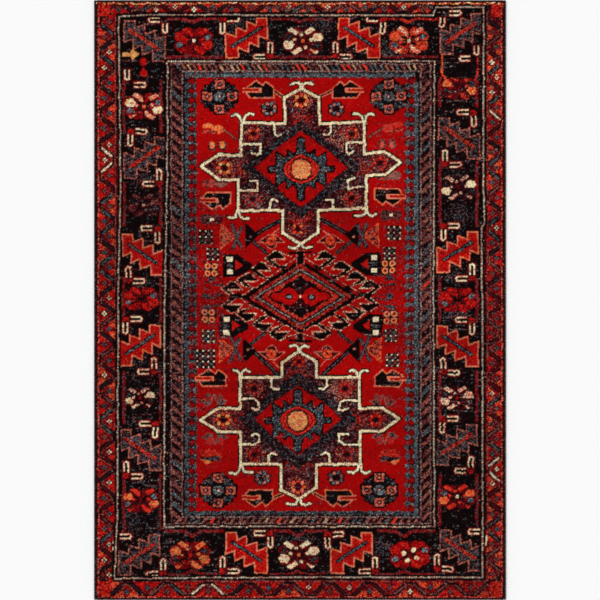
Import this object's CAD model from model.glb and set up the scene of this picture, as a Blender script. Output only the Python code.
"""A red oriental-style area rug, machine woven with a cut pile, lying flat with its pile up.

Every piece is in metres in the frame of the CAD model. The pattern is laid out knot by knot
on a weaver's chart, in millimetres from the middle of the rug, and each knot becomes one
small tuft of pile in the colour of its yarn.
"""
import math

import bpy
import numpy as np
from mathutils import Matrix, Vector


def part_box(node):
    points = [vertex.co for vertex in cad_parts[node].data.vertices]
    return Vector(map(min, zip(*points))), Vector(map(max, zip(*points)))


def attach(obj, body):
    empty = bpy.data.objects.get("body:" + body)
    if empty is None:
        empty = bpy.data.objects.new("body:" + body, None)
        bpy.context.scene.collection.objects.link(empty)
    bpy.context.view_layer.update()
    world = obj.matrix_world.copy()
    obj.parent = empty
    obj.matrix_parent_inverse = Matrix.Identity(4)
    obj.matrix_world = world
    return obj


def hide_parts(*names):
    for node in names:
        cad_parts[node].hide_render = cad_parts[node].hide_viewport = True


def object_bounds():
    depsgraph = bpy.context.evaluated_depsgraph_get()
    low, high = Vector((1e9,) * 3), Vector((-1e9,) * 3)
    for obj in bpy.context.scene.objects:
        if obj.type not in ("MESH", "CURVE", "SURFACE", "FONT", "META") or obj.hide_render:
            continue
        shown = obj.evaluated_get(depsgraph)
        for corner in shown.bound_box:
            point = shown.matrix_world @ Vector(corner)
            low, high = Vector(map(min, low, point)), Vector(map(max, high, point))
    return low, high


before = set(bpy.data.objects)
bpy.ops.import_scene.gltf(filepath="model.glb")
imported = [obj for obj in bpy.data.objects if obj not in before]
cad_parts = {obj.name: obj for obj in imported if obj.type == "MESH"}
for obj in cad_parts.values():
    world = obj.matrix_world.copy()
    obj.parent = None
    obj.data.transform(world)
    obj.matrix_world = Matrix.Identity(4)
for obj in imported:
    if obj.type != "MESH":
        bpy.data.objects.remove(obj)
cad_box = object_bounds()

# ------------------------------------------------------------------ yarn shades
# Dyed yarn shades, as display (sRGB) values from 0 to 1
SHADES = {
    "black": (0.046, 0.010, 0.012),
    "night": (0.105, 0.082, 0.092),
    "slate": (0.265, 0.325, 0.350),
    "sky": (0.470, 0.560, 0.580),
    "plum": (0.220, 0.050, 0.080),
    "maroon": (0.330, 0.020, 0.035),
    "mauve": (0.440, 0.250, 0.240),
    "brown": (0.620, 0.360, 0.280),
    "red": (0.615, 0.012, 0.014),
    "scarlet": (0.720, 0.085, 0.065),
    "coral": (0.830, 0.240, 0.150),
    "orange": (0.860, 0.450, 0.220),
    "salmon": (0.850, 0.470, 0.390),
    "gold": (0.830, 0.640, 0.360),
    "cream": (0.930, 0.860, 0.700),
    "stone": (0.600, 0.550, 0.500),
}
YARN = {name: index for index, name in enumerate(SHADES)}

# The wound edges, the rug, the knotted part of it inside them, and one knot, in millimetres
WOUND_EDGE_WIDTH = 8.0
RUG_HALF_WIDTH = round(1000 * cad_box[1][0], 1)
RUG_HALF_LENGTH = round(1000 * cad_box[1][1], 1)
HALF_WIDTH = RUG_HALF_WIDTH - WOUND_EDGE_WIDTH
HALF_LENGTH = RUG_HALF_LENGTH - WOUND_EDGE_WIDTH
KNOT = 3.2
COLS = round(2 * HALF_WIDTH / KNOT)
ROWS = round(2 * HALF_LENGTH / KNOT)


def knot_places(count, half):
    """Middles of a row of knots, in millimetres from the middle of the rug."""
    return (np.arange(count) + 0.5) * 2 * half / count - half


def inside_outline(x, y, points):
    """Which of the places are inside an outline."""
    inside = np.zeros(x.shape, bool)
    for (x0, y0), (x1, y1) in zip(points, points[1:] + points[:1]):
        if y0 != y1:
            crosses = (y0 > y) != (y1 > y)
            inside ^= crosses & (x < (x1 - x0) * (y - y0) / (y1 - y0) + x0)
    return inside


def smooth_noise(rng, shape, cell_rows, cell_cols):
    """Random values from -1 to 1 that change smoothly over cells of the given size in knots."""
    rows = int(shape[0] / cell_rows) + 3
    cols = int(shape[1] / cell_cols) + 3
    coarse = rng.uniform(-1, 1, (rows, cols))
    r = np.arange(shape[0]) / cell_rows
    c = np.arange(shape[1]) / cell_cols
    r0, c0 = r.astype(int), c.astype(int)
    fr = (r - r0)[:, None]
    fc = (c - c0)[None, :]
    fr = fr * fr * (3 - 2 * fr)
    fc = fc * fc * (3 - 2 * fc)
    a = coarse[np.ix_(r0, c0)]
    b = coarse[np.ix_(r0, c0 + 1)]
    d = coarse[np.ix_(r0 + 1, c0)]
    e = coarse[np.ix_(r0 + 1, c0 + 1)]
    return (a * (1 - fc) + b * fc) * (1 - fr) + (d * (1 - fc) + e * fc) * fr


class Mix:
    """A mottled ground: yarn names with the share of knots that each one takes."""

    def __init__(self, **shares):
        self.index = np.array([YARN[name] for name in shares])
        total = sum(shares.values())
        self.steps = np.cumsum([share / total for share in shares.values()])[:-1]


# how far the woven lines waver, in millimetres: slowly, and from knot to knot
SLOW_WAVER, QUICK_WAVER = 1.6, 1.2


class Chart:
    """The weaver's chart: one yarn for each knot, laid out in millimetres on the rug."""

    def __init__(self, seed):
        rng = np.random.default_rng(seed)
        self.rng = rng
        self.shape = (ROWS, COLS)
        self.x, self.y = np.meshgrid(knot_places(COLS, HALF_WIDTH), knot_places(ROWS, HALF_LENGTH))
        # a hand-drawn unevenness of the woven lines
        self.x += SLOW_WAVER * smooth_noise(rng, self.shape, 9, 30)
        self.x += QUICK_WAVER * smooth_noise(rng, self.shape, 3, 40)
        self.y += SLOW_WAVER * smooth_noise(rng, self.shape, 30, 9)
        self.y += QUICK_WAVER * smooth_noise(rng, self.shape, 40, 3)
        grain = rng.uniform(0, 1, self.shape) + 0.55 * smooth_noise(rng, self.shape, 1.4, 2.6)
        self.grain = (np.argsort(np.argsort(grain, axis=None)) / grain.size).reshape(self.shape)
        self.knots = np.full(self.shape, YARN["red"], np.uint8)

    def window(self, x_low, x_high, y_low, y_high):
        """Rows and columns that cover a rectangle, with a little room for the uneven lines."""
        c0 = max(0, int((x_low + HALF_WIDTH) / KNOT) - 3)
        c1 = min(COLS, int((x_high + HALF_WIDTH) / KNOT) + 4)
        r0 = max(0, int((y_low + HALF_LENGTH) / KNOT) - 3)
        r1 = min(ROWS, int((y_high + HALF_LENGTH) / KNOT) + 4)
        return slice(r0, max(r0, r1)), slice(c0, max(c0, c1))

    def weave(self, window, mask, yarn):
        """Put a yarn, or a mix of yarns, into the knots of the mask."""
        if isinstance(yarn, Mix):
            pick = yarn.index[np.searchsorted(yarn.steps, self.grain[window])]
            self.knots[window][mask] = pick[mask]
        else:
            self.knots[window][mask] = YARN[yarn]

    def area(self, points):
        """Window and mask of the knots inside an outline."""
        xs, ys = zip(*points)
        window = self.window(min(xs), max(xs), min(ys), max(ys))
        return window, inside_outline(self.x[window], self.y[window], points)

    def fill(self, points, yarn):
        window, inside = self.area(points)
        self.weave(window, inside, yarn)

    def line(self, points, width, yarn, closed=False):
        """A line of knots of the given width through the points."""
        if closed:
            points = points + points[:1]
        for (x0, y0), (x1, y1) in zip(points, points[1:]):
            half = width / 2
            window = self.window(
                min(x0, x1) - half, max(x0, x1) + half, min(y0, y1) - half, max(y0, y1) + half)
            x, y = self.x[window], self.y[window]
            length2 = (x1 - x0) ** 2 + (y1 - y0) ** 2
            t = np.clip(((x - x0) * (x1 - x0) + (y - y0) * (y1 - y0)) / max(length2, 1e-9), 0, 1)
            off_x = np.abs(x - x0 - t * (x1 - x0))
            off_y = np.abs(y - y0 - t * (y1 - y0))
            diagonal = min(abs(x1 - x0), abs(y1 - y0)) > 4
            reach = np.hypot(off_x, off_y) if diagonal else np.maximum(off_x, off_y)
            self.weave(window, reach <= half, yarn)

    def outlined(self, points, width, yarn, edge, edge_width):
        """A line with another line along both of its sides."""
        self.line(points, width + 2 * edge_width, edge)
        self.line(points, width, yarn)

    def patch(self, points, yarn, under=None, rim=None):
        """A filled outline, over a wider line and under a thin one, each given as its width and yarn."""
        if under:
            self.line(points, *under, closed=True)
        self.fill(points, yarn)
        if rim:
            self.line(points, *rim, closed=True)

    def around(self, center, reach_x, reach_y):
        """Window round a middle, and how far its knots are from there."""
        cx, cy = center
        window = self.window(cx - reach_x, cx + reach_x, cy - reach_y, cy + reach_y)
        return window, self.x[window] - cx, self.y[window] - cy

    def disc(self, center, radius_x, radius_y, yarn):
        window, x, y = self.around(center, radius_x, radius_y)
        self.weave(window, (x / radius_x) ** 2 + (y / radius_y) ** 2 <= 1, yarn)

    def fleck(self, center, radius_x, radius_y, yarn, share):
        """Strew knots of a mix over an ellipse, thinner towards its edge."""
        window, x, y = self.around(center, radius_x, radius_y)
        reach = (x / radius_x) ** 2 + (y / radius_y) ** 2
        self.weave(window, self.rng.uniform(0, 1, reach.shape) < share * (1 - reach), yarn)

    def box(self, center, width, height, yarn):
        window, x, y = self.around(center, width / 2, height / 2)
        self.weave(window, (np.abs(x) <= width / 2) & (np.abs(y) <= height / 2), yarn)


def placed(points, center, flip_x=1, flip_y=1, scale=1.0):
    """Points of a motif moved to its place, mirrored where a flip is -1."""
    return [(center[0] + flip_x * scale * x, center[1] + flip_y * scale * y) for x, y in points]


# ------------------------------------------------------------------ grounds
PLUM_GROUND = Mix(black=32, plum=22, maroon=20, night=12, mauve=8, slate=5, sky=1)
BLACK_GROUND = Mix(black=86, night=8, plum=3, slate=3)
RED_GROUND = Mix(red=96, scarlet=3, maroon=1)
BORDER_RED = Mix(scarlet=28, red=34, coral=6, maroon=26, plum=6)
WARM_RED = Mix(coral=32, scarlet=22, orange=13, red=13, maroon=20)
LEAF_RED = Mix(red=56, scarlet=32, coral=4, maroon=8)
LEAF_DARK = Mix(black=28, night=26, plum=12, mauve=10, slate=24)
MUTED_BROWN = Mix(brown=22, mauve=42, maroon=18, plum=18)
CREAM_LINE = Mix(cream=72, gold=16, stone=12)
GUARD_LINE = Mix(stone=52, mauve=20, cream=10, brown=18)
EDGE_LINE = Mix(salmon=44, orange=26, brown=16, coral=14)
DULL_LINE = Mix(maroon=36, red=22, mauve=20, plum=22)
WARM_LINE = Mix(maroon=40, coral=22, scarlet=16, plum=22)
THIN_RED = Mix(maroon=40, mauve=26, red=22, brown=12)
DULL_CREAM = Mix(cream=46, salmon=26, stone=28)


# ------------------------------------------------------------------ bands
LEFT, RIGHT, TOP, BOTTOM = "left", "right", "top", "bottom"


def on_side(side, along, depth):
    """A point given by its place along one side and its depth from that edge of the rug."""
    return {
        LEFT: (-RUG_HALF_WIDTH + depth, along),
        RIGHT: (RUG_HALF_WIDTH - depth, along),
        TOP: (along, RUG_HALF_LENGTH - depth),
        BOTTOM: (along, -RUG_HALF_LENGTH + depth),
    }[side]


def along_side(side, *places):
    """Points given by their places along one side and their depths from that edge of the rug."""
    return [on_side(side, along, depth) for along, depth in places]


def ring(left, right, top, bottom):
    """Corners of a rectangle at the given depths from the four edges."""
    return [
        (-RUG_HALF_WIDTH + left, RUG_HALF_LENGTH - top),
        (RUG_HALF_WIDTH - right, RUG_HALF_LENGTH - top),
        (RUG_HALF_WIDTH - right, -RUG_HALF_LENGTH + bottom),
        (-RUG_HALF_WIDTH + left, -RUG_HALF_LENGTH + bottom),
    ]


# the two guard lines waver a little, as woven ones do
OUTER_GUARD = [
    (-704, 1102), (-545, 1108), (515, 1106), (528, 1137), (714, 1137), (712, 420), (717, 300), (705, 280),
    (705, 90), (709, -60), (709, -1077), (0, -1076), (-720, -1082), (-709, -840), (-706, 0), (-697, 500),
]
INNER_GUARD = [(-515, 926), (522, 928), (518, 0), (522, -880), (-528, -880), (-526, 0), (-516, 480)]


def dot_flower(chart, center, yarn, arm=6.2):
    """Four dots round a middle."""
    for dx, dy in ((arm, 0), (-arm, 0), (0, arm), (0, -arm)):
        chart.disc((center[0] + dx, center[1] + dy), 3.6, 3.6, yarn)


def tent(chart, side, place, half, base, tip):
    """Red tent between two bars of the zigzag, with two warm blocks and a flower on its base."""
    rng = chart.rng
    middle = (base + tip) / 2
    shares = [0.28, 0.52, 0.20] if side in (RIGHT, BOTTOM) else [0.45, 0.30, 0.25]
    warm = (BORDER_RED, WARM_RED, LEAF_RED)[rng.choice(3, p=shares)]
    if side == RIGHT and abs(place) > 690:
        warm = WARM_RED
    chart.fill(along_side(side, (place - half, base), (place + half, base), (place, tip)),
               Mix(red=26, maroon=40, scarlet=8, plum=20, black=6))
    low, high = middle + 0.10 * (base - tip), middle + 0.47 * (base - tip)
    block = ((0.12, high), (0.66, high), (0.44, low), (0.16, low))
    for lean in (-1, 1):
        chart.fill([on_side(side, place + lean * half * share, depth) for share, depth in block], warm)
    flower = on_side(side, place, middle + 0.14 * (base - tip))
    chart.disc(flower, 11, 11, Mix(black=50, plum=30, maroon=20))
    petals = ("cream", DULL_CREAM, "slate", "mauve")[rng.choice(4, p=[0.07, 0.25, 0.34, 0.34])]
    dot_flower(chart, flower, petals)


BAR_SHADES = (
    Mix(slate=60, night=40), Mix(night=60, plum=40), Mix(mauve=60, maroon=40), Mix(plum=50, maroon=50),
)


def zigzag_side(chart, side, start, period, tents, low, high, pale=()):
    """Outer minor border along one side: tents on either edge in turn, with a dark zigzag between."""
    rng = chart.rng
    for n in range(tents):
        base, tip = (high, low) if n % 2 == 0 else (low, high)
        tent(chart, side, start + (n + 1) * period / 2, period / 2, base, tip)
    for n in range(tents + 1):
        first, last = (high, low) if n % 2 == 0 else (low, high)
        place = start + n * period / 2
        flat = 0.06 * period
        leg = along_side(side, (place - flat, first), (place + flat, first),
                         (place + period / 2 - flat, last), (place + period / 2 + flat, last))
        chart.line(leg, 25, Mix(maroon=46, mauve=14, brown=18, plum=22))
        chart.line(leg, 18, Mix(black=80, plum=20))
        bar = DULL_CREAM if n in pale else BAR_SHADES[rng.choice(4)]
        step = 0.2 * (last - first)
        ends = (place + 0.11 * period, first + step), (place + 0.39 * period, last - step)
        chart.line(along_side(side, *ends), 8, bar)


def outer_minor_border(chart):
    """Red tents and a dark zigzag between thin lines."""
    chart.fill(ring(0, 0, 0, 0), Mix(maroon=46, plum=22, black=22, red=10))
    zigzag_side(chart, LEFT, -1128.75, 119.5, 37, 18, 82, pale=(27, 28))
    zigzag_side(chart, RIGHT, -1124, 117, 37, 14, 76, pale=(7, 8, 31))
    zigzag_side(chart, TOP, -782, 148, 20, 12, 50)
    zigzag_side(chart, BOTTOM, -829, 157, 20, 12, 70, pale=(5, 6))
    for corner in ((-762, 1130), (768, 1126), (-762, -1122), (762, -1122)):
        chart.box(corner, 50, 56, Mix(coral=22, scarlet=28, red=26, maroon=24))
    chart.line(ring(8, 8, 8, 8), 12, Mix(black=50, plum=34, maroon=16), closed=True)
    chart.line(ring(17, 16, 12, 12), 5, Mix(maroon=36, salmon=20, coral=24, red=20), closed=True)
    chart.line(ring(83, 72, 51, 73), 5, THIN_RED, closed=True)
    ticks = Mix(maroon=34, coral=24, orange=18, gold=16, cream=8)
    chart.line(along_side(TOP, (-790, 13), (790, 13)), 6, ticks)


def guard_lines(chart):
    """The cream guard lines, each between two black ones."""
    for path in (OUTER_GUARD, INNER_GUARD):
        chart.line(path, 22, "black", closed=True)
        chart.line(path, 5.5, GUARD_LINE, closed=True)


def inner_minor_border(chart):
    """Slanted bars between two thin lines, larger along the sides than at the ends."""
    rng = chart.rng
    chart.fill(ring(294, 287, 246, 294), Mix(black=56, plum=20, night=12, mauve=12))
    yarns = (MUTED_BROWN, Mix(slate=56, night=34, sky=10), Mix(scarlet=50, coral=50),
             Mix(gold=24, stone=36, brown=40))
    for side, low, high, reach, lean, step, shares in (
        (LEFT, 303, 340, 838, 15, 41, (0.82, 0.14, 0.04, 0)),
        (RIGHT, 296, 328, 838, 15, 41, (0.70, 0.26, 0.04, 0)),
        (TOP, 252, 273, 470, -7, 21, (0.54, 0.12, 0.12, 0.22)),
        (BOTTOM, 299, 319, 470, -8, 26, (0.68, 0.14, 0.08, 0.10)),
    ):
        place = -reach
        while place < reach:
            yarn = yarns[rng.choice(4, p=shares)]
            half = step * rng.uniform(0.20, 0.30)
            gap = place - step * 0.45
            chart.line(along_side(side, (gap + lean, low), (gap - lean, high)), 5, "black")
            chart.fill(along_side(side, (place - half + lean, low), (place + half + lean, low),
                                  (place + half * 0.5 - lean, high), (place - half - lean, high)), yarn)
            place += step * rng.uniform(0.9, 1.1)
    chart.line(ring(300, 293, 248, 297), 4.5, Mix(mauve=50, stone=20, plum=30), closed=True)
    chart.line(ring(343, 331, 277, 322), 5, Mix(mauve=48, stone=26, plum=26), closed=True)


def comb_side(chart, side, start, half_span, step, slate):
    """Slate crosses in front of a slate line, with red balls between them."""
    chart.line(along_side(side, (-half_span - 8, start + 8), (half_span + 8, start + 8)), 15, slate)
    place = -half_span
    while place <= half_span + 1:
        between = place + step / 2
        chart.disc(on_side(side, place, start + 14), 11, 9, slate)
        chart.line(along_side(side, (place, start + 18), (place, start + 56)), 4.5, slate)
        chart.disc(on_side(side, place, start + 42), 11, 10, slate)
        chart.line(along_side(side, (place - 13, start + 42), (place + 13, start + 42)), 5, slate)
        chart.disc(on_side(side, between, start + 27), 12, 12, "black")
        chart.disc(on_side(side, between, start + 27), 9.5, 9.5, Mix(red=56, maroon=40, plum=4))
        chart.disc(on_side(side, between, start + 54), 11, 12, Mix(red=80, maroon=20))
        place += step


def comb_end(chart, side, start, half_span, step, slate):
    """Short slate teeth along an end of the field."""
    chart.line(along_side(side, (-half_span, start + 7), (half_span, start + 7)), 14, slate)
    place = -half_span
    while place <= half_span + 1:
        chart.line(along_side(side, (place, start), (place, start + 19)), 9, slate)
        chart.disc(on_side(side, place, start + 17), 9, 5, slate)
        place += step


def reciprocal_border(chart):
    """Comb border: slate crosses and teeth that reach into the red."""
    dull = Mix(night=44, slate=42, black=8, sky=6)
    clear = Mix(slate=62, night=22, sky=12, black=4)
    chart.fill(ring(347, 334, 281, 326), Mix(black=80, night=20))
    chart.fill(ring(362, 350, 292, 337), Mix(maroon=30, red=24, black=26, plum=20))
    comb_end(chart, TOP, 285, 440, 37, clear)
    comb_end(chart, BOTTOM, 331, 430, 35, dull)
    comb_side(chart, LEFT, 352, 830, 36.9, dull)
    comb_side(chart, RIGHT, 340, 830, 36.9, clear)


def hook(chart, start, end):
    """A small cream U that is closed at its end."""
    (x0, y0), (x1, y1) = start, end
    dx, dy = (0, 8) if y0 == y1 else (8, 0)
    turn = 5 if (x1 > x0 or y1 > y0) else -5
    bend = (x1 + turn, y1) if y0 == y1 else (x1, y1 + turn)
    shape = [(x0 + dx, y0 + dy), (x1 + dx, y1 + dy), bend, (x1 - dx, y1 - dy), (x0 - dx, y0 - dy)]
    chart.line(shape, 16, "maroon")
    chart.line([start, end], 10, "black")
    chart.line(shape, 6.0, Mix(cream=60, salmon=32, brown=8))


LEAF = [
    (-82, -81), (-82, 20), (-42, 4), (-40, 40), (0, 27), (1, 65), (39, 50), (40, 80),
    (81, 80), (83, -5), (48, 8), (47, -33), (10, -17), (10, -56), (-32, -40), (-32, -81),
]


def leaf(chart, center, slant, along_x, dark=False, stems=(1, -1)):
    """A saw-toothed leaf on the main border, with a bar along it and hooks at its free corners."""
    cx, cy = center
    yarn = LEAF_DARK if dark else LEAF_RED
    edge = Mix(brown=34, salmon=18, maroon=22, mauve=26) if dark else EDGE_LINE
    chart.patch(placed(LEAF, center, slant, 1, 0.97), yarn, (17, "black"), (5.5, edge))
    bar = placed([(-54, -32), (56, 40)], center, slant, 1)
    if dark:
        chart.line(bar, 15, Mix(coral=14, scarlet=28, maroon=44, brown=14))
    else:
        chart.outlined(bar, 8, Mix(slate=50, night=30, sky=10, black=10), "black", 3.5)
    stem_x, stem_y = (92, 70) if along_x else (56, 99)
    for side in stems:
        across = slant * side
        sx, sy = cx - across * stem_x, cy + side * stem_y
        chart.disc((sx, sy), 13, 13, Mix(scarlet=50, maroon=50))
        hook(chart, (sx + across * 22, sy + side * 3), (sx + across * 58, sy + side * 3))
        hook(chart, (sx, sy - side * 14), (sx, sy - side * 48))


CREAM_PETAL = Mix(cream=70, gold=14, salmon=16)
ORANGE_PETAL = Mix(orange=42, coral=32, gold=10, scarlet=6, maroon=10)
RED_PETAL = Mix(scarlet=36, red=36, coral=8, maroon=20)
DARK_PETAL = Mix(maroon=34, plum=26, mauve=30, brown=10)
PINK_PETAL = Mix(salmon=40, orange=24, cream=20, coral=16)
SLATE_SPOT = Mix(slate=56, night=22, sky=22)
NIGHT_SPOT = Mix(night=56, slate=24, black=20)
WINE = Mix(maroon=44, plum=30, red=16, black=10)
DARK_RED = Mix(maroon=48, red=30, plum=14, scarlet=8)
DULL_PETAL = Mix(salmon=40, cream=26, mauve=34)
EMBER = Mix(scarlet=28, coral=22, orange=10, maroon=40)
EMBER_PETAL = Mix(coral=36, orange=22, scarlet=24, maroon=18)
FADED_PETAL = Mix(salmon=36, brown=26, coral=24, cream=14)

# petals of a rosette, as offsets from its middle
PETAL_BARS = (
    ((-60, 42), (-46, 52), (-16, 34), (-28, 22)), ((2, 34), (14, 24), (46, 44), (32, 54)),
    ((-46, -43), (-32, -54), (-2, -34), (-14, -24)), ((18, -22), (30, -32), (60, -40), (48, -50)),
)
BIG_PETAL = ((-76, -12), (-68, -28), (-44, -31), (-32, -14), (-42, 0), (-68, 0))


def rosette(chart, center, base, big, bars, spots, heart, flip=1, size=1.0):
    """Rosette: two big petals at its ends, two spots beside them, and four slanted petals."""
    def put(points, yarn, turn=1):
        chart.fill(placed(points, center, turn * flip * size, turn * size), yarn)

    def dot(dx, dy, reach_x, reach_y, yarn):
        chart.disc((center[0] + dx * size, center[1] + dy * size), reach_x * size, reach_y * size, yarn)

    for lobe in ((0, 0, 62, 46), (-46, 16, 30, 22), (46, 16, 30, 22), (-46, -18, 30, 22), (46, -18, 30, 22),
                 (-24, 34, 24, 18), (24, 34, 24, 18), (-24, -34, 24, 18), (24, -34, 24, 18)):
        dot(*lobe, base)
    for dx, dy in ((70, 0), (50, 26), (50, -27), (0, 46)):
        gap = [(center[0] - dx * size, center[1] - dy * size), (center[0] + dx * size, center[1] + dy * size)]
        chart.line(gap, 6, Mix(black=70, plum=30))
    for petal in PETAL_BARS:
        put(petal, bars)
    for turn in (1, -1):
        put(BIG_PETAL, big, turn)
        dot(-56 * turn * flip, 16 * turn, 13, 10, spots)
    for dx, dy in ((-16, 13), (16, 13), (-16, -13), (16, -13)):
        dot(dx, dy, 8, 7, Mix(black=60, plum=40))
    for dx, dy in ((-31, 5), (31, 5), (-9, 24), (9, -24)):
        dot(dx, dy, 7, 6, bars)
    dot(0, 0, 7, 7, heart)


def rosettes(chart):
    """The sixteen rosettes of the main border."""
    for center, base, big, bars, spots, heart, flip, size in (
        ((-412, 1006), DARK_RED, RED_PETAL, RED_PETAL, SLATE_SPOT, CREAM_PETAL, -1, 1.0),
        ((12, 1006), WINE, CREAM_PETAL, CREAM_PETAL, NIGHT_SPOT, ORANGE_PETAL, 1, 1.02),
        ((423, 1008), EMBER, EMBER_PETAL, FADED_PETAL, SLATE_SPOT, CREAM_PETAL, -1, 1.0),
        ((-606, 753), DARK_RED, CREAM_PETAL, PINK_PETAL, SLATE_SPOT, ORANGE_PETAL, -1, 0.98),
        ((-606, 369), Mix(black=60, plum=40), DARK_PETAL, DARK_PETAL, NIGHT_SPOT, PINK_PETAL, 1, 0.85),
        ((-617, 4), DARK_RED, RED_PETAL, RED_PETAL, SLATE_SPOT, "black", -1, 0.88),
        ((-621, -381), Mix(black=56, maroon=44), CREAM_PETAL, DULL_PETAL, NIGHT_SPOT, "red", 1, 0.76),
        ((-617, -778), WINE, ORANGE_PETAL, Mix(scarlet=60, coral=40), SLATE_SPOT, "maroon", -1, 0.92),
        ((-427, -992), DARK_RED, ORANGE_PETAL, ORANGE_PETAL, NIGHT_SPOT, "scarlet", -1, 1.04),
        ((-4, -990), WINE, CREAM_PETAL, CREAM_PETAL, NIGHT_SPOT, ORANGE_PETAL, 1, 1.04),
        ((427, -988), Mix(red=60, maroon=40), RED_PETAL, RED_PETAL, SLATE_SPOT, "maroon", -1, 1.02),
        ((620, 826), WINE, ORANGE_PETAL, Mix(coral=50, maroon=50), NIGHT_SPOT, "maroon", -1, 0.9),
        ((617, 437), Mix(plum=50, black=50), CREAM_PETAL, DULL_PETAL, NIGHT_SPOT, "maroon", 1, 0.9),
        ((613, 0), DARK_RED, RED_PETAL, RED_PETAL, SLATE_SPOT, "black", -1, 0.92),
        ((610, -381), Mix(black=60, maroon=40), DULL_PETAL, DULL_PETAL, NIGHT_SPOT, "red", 1, 0.86),
        ((610, -765), WINE, Mix(coral=60, orange=40), Mix(scarlet=50, coral=50), SLATE_SPOT, CREAM_PETAL, 1,
         0.92),
    ):
        rosette(chart, center, base, big, bars, spots, heart, flip, size)
    for dx, dy in ((-24, 4), (14, 16), (-9, -24), (26, -14)):
        chart.disc((427 + dx, -988 + dy), 9, 9, CREAM_PETAL)


def border_line(chart, along_x, level, sign, notch, start, stop, yarn=DULL_LINE):
    """A thin red line beside a rosette, with a small notch towards it."""
    middle = (start + stop) / 2
    shape = [(start, 0), (middle - 42, 0), (middle - 8, -notch), (middle + 26, 0), (stop, 0)]
    if along_x:
        points = [(s, level + sign * d) for s, d in shape]
    else:
        points = [(level + sign * d, s) for s, d in shape]
    chart.line(points, 12, yarn)


# spans of the lines beside the rosettes, and on each edge of the border their level, bend and notch
LINE_SPANS = (
    (True, ((-515, -305), (-110, 125), (325, 530)), ((1092, 1, 12), (943, -1, 8))),
    (True, ((-520, -300), (-110, 105), (305, 520)), ((-1066, -1, 14), (-897, 1, 22))),
    (False, ((655, 850), (290, 450), (-80, 80), (-475, -280), (-890, -680)), ((-684, -1, -2), (-541, 1, -2))),
    (False, ((755, 860), (290, 545), (-80, 80), (-475, -280), (-870, -680)), ((687, 1, -2), (543, -1, -2))),
)

# middle of each leaf, its slant, whether it lies along an end of the rug, whether it is dark, and its stems
# where they aren't the usual two
LEAVES = (
    ((-603, 1006), -1, True, True, ()), ((-208, 1018), 1, True), ((230, 1018), -1, True),
    ((625, 1034), 1, True, True, ()), ((-603, 553), 1, False, True), ((-610, 176), -1, False),
    ((-622, -177), 1, False), ((-618, -582), -1, False, True), ((-625, -990), 1, True, True),
    ((-207, -980), -1, True), ((200, -982), 1, True), ((624, -972), -1, True, True),
    ((618, 628), -1, False, True), ((612, 186), 1, False), ((612, -180), -1, False),
    ((608, -562), 1, False, True),
)
# start and end of each hook of the two upper corner leaves
CORNER_HOOKS = (
    ((-548, 1087), (-584, 1087)), ((-525, 1070), (-525, 1042)), ((-672, 892), (-672, 860)),
    ((-642, 836), (-604, 836)), ((583, 1115), (620, 1115)), ((552, 1094), (552, 1066)),
    ((686, 985), (686, 958)), ((658, 937), (626, 937)),
)


def main_border(chart):
    """Black ground with leaves and rosettes in turn."""
    chart.fill(ring(95, 84, 58, 88), BLACK_GROUND)
    chart.fill([(520, 1100), (520, 1132), (712, 1132), (712, 1100)], BLACK_GROUND)
    for along_x, spans, edges in LINE_SPANS:
        for span in spans:
            for edge in edges:
                border_line(chart, along_x, *edge, *span)
    # the line above the upper right rosette is the warmest
    border_line(chart, True, 1092, 1, 12, 325, 530, WARM_LINE)
    worn_ground(chart)
    rosettes(chart)
    for place in LEAVES:
        leaf(chart, *place)
    dark_gap(chart)
    for start, stop in CORNER_HOOKS:
        hook(chart, start, stop)
    gold_bird(chart)


def gold_bird(chart):
    """Small gold bird over two red balls, at the upper left corner."""
    chart.fill([(-690, 962), (-658, 960), (-652, 976), (-624, 955), (-652, 932), (-658, 948), (-690, 944)],
               Mix(gold=70, orange=30))
    chart.line([(-608, 930), (-608, 872)], 8, "maroon")
    for place in ((-608, 925), (-607, 882)):
        chart.disc(place, 14, 15, LEAF_RED)


def worn_ground(chart):
    """Slate-grey streaks where the black ground of the main border has faded."""
    faded = Mix(night=40, slate=36, mauve=14, plum=10)
    for center, radius_x, radius_y in (
        ((610, 480), 60, 40), ((620, 330), 66, 60), ((-200, 1070), 110, 40), ((90, 1075), 60, 50),
        ((330, 975), 60, 60), ((-610, 60), 60, 30), ((-615, 470), 60, 40), ((610, -60), 60, 30),
        ((-660, -860), 50, 60), ((320, -960), 50, 60), ((-620, 640), 70, 40), ((-300, 975), 60, 50),
        ((0, -930), 90, 24), ((-620, -480), 60, 36), ((612, 90), 60, 40),
    ):
        chart.fleck(center, radius_x, radius_y, faded, 0.42)


def dark_gap(chart):
    """Plain dark ground inside an orange line, at the upper right corner."""
    chart.box((622, 902), 116, 84, Mix(black=88, night=12))
    line = Mix(coral=44, orange=22, scarlet=20, maroon=14)
    chart.line([(552, 955), (552, 878), (566, 856), (584, 846)], 8, line)
    chart.line([(690, 940), (690, 880), (680, 856)], 7, Mix(maroon=50, coral=30, scarlet=20))


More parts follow.
